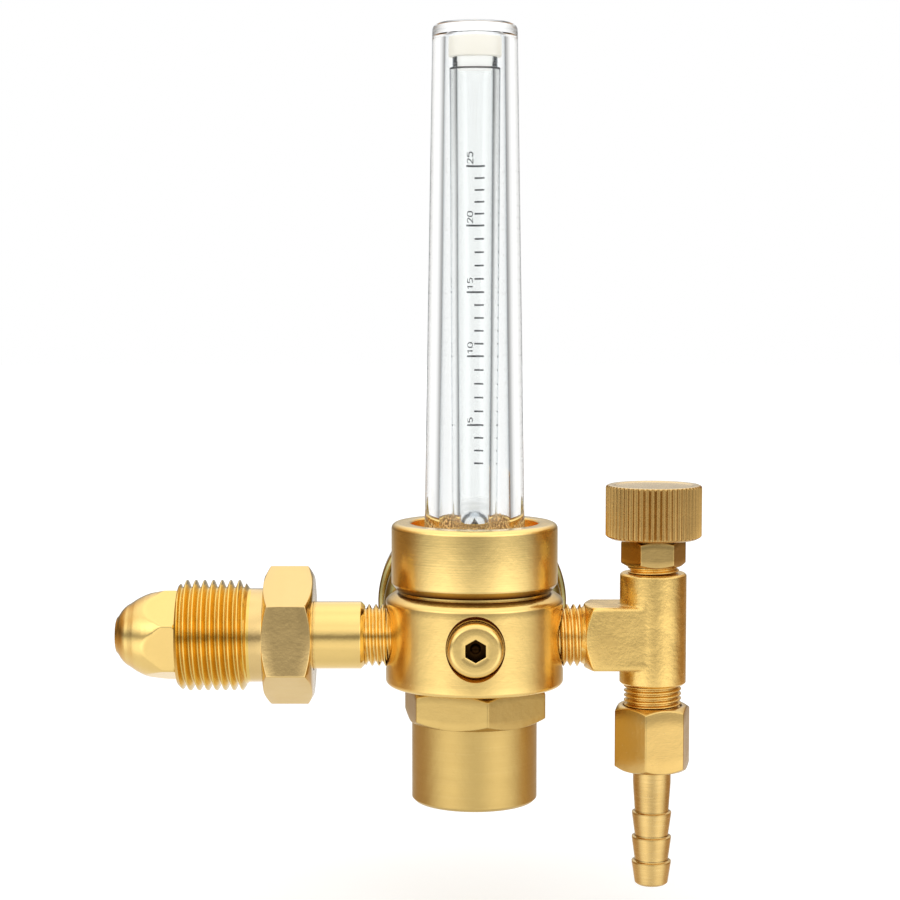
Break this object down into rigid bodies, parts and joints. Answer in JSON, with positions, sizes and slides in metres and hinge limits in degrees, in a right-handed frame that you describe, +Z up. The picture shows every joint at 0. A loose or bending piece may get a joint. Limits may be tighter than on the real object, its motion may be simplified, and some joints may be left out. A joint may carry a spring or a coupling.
{
  "type": "flowmeter gas regulator",
  "caption": "Brass argon or CO2 regulator with a clear rising-ball flow tube, rear contents gauge, union nut inlet, needle valve and hose barb outlet.",
  "frame": {"origin": "on the inlet nut's axis, at the middle of its thread", "axes": "+Z up along the flow tube, -X out of the inlet, +X towards the outlet valve, +Y out of the gauge's face"},
  "size_m": [0.1215, 0.0764, 0.1783],
  "materials": {
    "brass_body": "satin machined brass",
    "brass_dull": "duller knurled brass",
    "brass_inner": "machined brass",
    "bronze": "phosphor bronze",
    "steel": "plated steel",
    "spring_steel": "spring steel",
    "ball_steel": "polished steel ball",
    "black_steel": "black oxide steel",
    "gauge_paint": "gold lacquered steel",
    "black_paint": "black paint on aluminium",
    "white_paint": "white enamel dial",
    "clear_plastic": "clear polycarbonate",
    "cream_plastic": "cream plastic",
    "white_plastic": "white fluoroplastic",
    "black_rubber": "black nitrile rubber",
    "red_fibre": "red fibre"
  },
  "bodies": {
    "regulator": {"regulator_body": "brass_body", "bonnet": "brass_body", "slip_ring": "steel", "diaphragm": "black_rubber", "main_spring": "spring_steel", "nozzle": "brass_inner", "poppet_spring": "spring_steel", "inlet_nipple": "brass_body", "inlet_filter": "bronze", "tube_retaining_ring": "brass_body", "tube_cover": "clear_plastic", "metering_tube": "clear_plastic", "tube_top_cap": "cream_plastic", "ball_seat": "cream_plastic", "cover_o_ring": "black_rubber", "metering_tube_o_ring": "black_rubber", "gauge_socket": "brass_body", "gauge_case": "gauge_paint", "gauge_bezel": "gauge_paint", "gauge_lens": "clear_plastic", "gauge_dial": "white_paint", "bourdon_tube": "bronze", "bourdon_tip": "brass_inner", "movement_plates": "brass_inner", "movement_screws": "steel", "hairspring": "spring_steel", "stop_pin": "brass_inner", "relief_cap": "brass_body", "relief_gasket": "red_fibre", "relief_spring": "spring_steel", "valve_body": "brass_body", "packing_nut": "brass_body", "stem_packing": "white_plastic"},
    "inlet_nut": {"inlet_nut": "brass_body"},
    "float": {"float_ball": "ball_steel"},
    "diaphragm_plates": {"diaphragm_plate": "brass_inner", "backing_plate": "steel"},
    "poppet": {"poppet": "brass_inner", "poppet_seat_disc": "white_plastic"},
    "spring_button": {"spring_button": "brass_inner"},
    "preset_screw": {"preset_screw": "brass_inner"},
    "relief_poppet": {"relief_poppet": "black_rubber"},
    "pointer": {"gauge_pointer": "black_paint", "pinion_arbor": "brass_inner"},
    "sector": {"sector_gear": "brass_inner"},
    "link": {"gauge_link": "steel"},
    "needle": {"valve_needle": "steel"},
    "knob": {"valve_stem": "brass_inner", "control_knob": "brass_dull", "knob_set_screw": "black_steel"},
    "barb": {"hose_barb": "brass_body", "barb_seal": "white_plastic"},
    "outlet_nut": {"outlet_nut": "brass_body"}
  },
  "joints": [
    {"name": "inlet_nut_spin", "type": "hinge", "parent": "regulator", "child": "inlet_nut", "pos_m": [0, 0, 0], "axis": [1, 0, 0], "continuous": true},
    {"name": "float_rise", "type": "slide", "parent": "regulator", "child": "float", "axis": [0, 0, 1], "range_m": [0, 0.088]},
    {"name": "diaphragm_travel", "type": "slide", "parent": "regulator", "child": "diaphragm_plates", "axis": [0, 0, -1], "range_m": [0, 0.00038], "deforming": ["diaphragm", "main_spring"]},
    {"name": "poppet_travel", "type": "slide", "parent": "regulator", "child": "poppet", "axis": [0, 0, -1], "range_m": [0, 0.00038], "deforming": ["poppet_spring"]},
    {"name": "preset_height", "type": "slide", "parent": "regulator", "child": "spring_button", "axis": [0, 0, 1], "range_m": [-0.001, 0.003]},
    {"name": "preset_turn", "type": "hinge", "parent": "spring_button", "child": "preset_screw", "pos_m": [0.05412, 0, -0.03], "axis": [0, 0, 1], "range_deg": [-361, 1081.2]},
    {"name": "relief_lift", "type": "slide", "parent": "regulator", "child": "relief_poppet", "axis": [0, -1, 0], "range_m": [0, 0.0008], "deforming": ["relief_spring"]},
    {"name": "pointer_turn", "type": "hinge", "parent": "regulator", "child": "pointer", "pos_m": [0.05412, 0.045, 0], "axis": [0, -1, 0], "range_deg": [0, 270], "deforming": ["hairspring"]},
    {"name": "sector_turn", "type": "hinge", "parent": "regulator", "child": "sector", "pos_m": [0.05412, 0.0442, -0.01106], "axis": [0, 1, 0], "range_deg": [0, 27.5]},
    {"name": "link_swing", "type": "hinge", "parent": "sector", "child": "link", "pos_m": [0.05244, 0.0432, -0.01469], "axis": [0, -1, 0], "range_deg": [0, 27.5]},
    {"name": "needle_lift", "type": "slide", "parent": "regulator", "child": "needle", "axis": [0, 0, 1], "range_m": [0, 0.00225]},
    {"name": "knob_turn", "type": "hinge", "parent": "needle", "child": "knob", "pos_m": [0.09123, 0, 0.0258], "axis": [0, 0, 1], "range_deg": [0, 1081.2]},
    {"name": "barb_drop", "type": "slide", "parent": "regulator", "child": "barb", "axis": [0, 0, -1], "range_m": [0, 0.005]},
    {"name": "outlet_nut_turn", "type": "hinge", "parent": "barb", "child": "outlet_nut", "pos_m": [0.09123, 0, -0.021], "axis": [0, 0, -1], "range_deg": [0, 1802]}
  ],
  "couplings": [
    {"joint": "poppet_travel", "follows": "diaphragm_travel", "ratio": 1},
    {"joint": "preset_turn", "follows": "preset_height", "rad_per_m": 6283.2},
    {"joint": "sector_turn", "follows": "pointer_turn", "ratio": 0.1},
    {"joint": "link_swing", "follows": "pointer_turn", "ratio": 0.1},
    {"joint": "knob_turn", "follows": "needle_lift", "rad_per_m": 8377.6},
    {"joint": "outlet_nut_turn", "follows": "barb_drop", "rad_per_m": 6283.2}
  ]
}
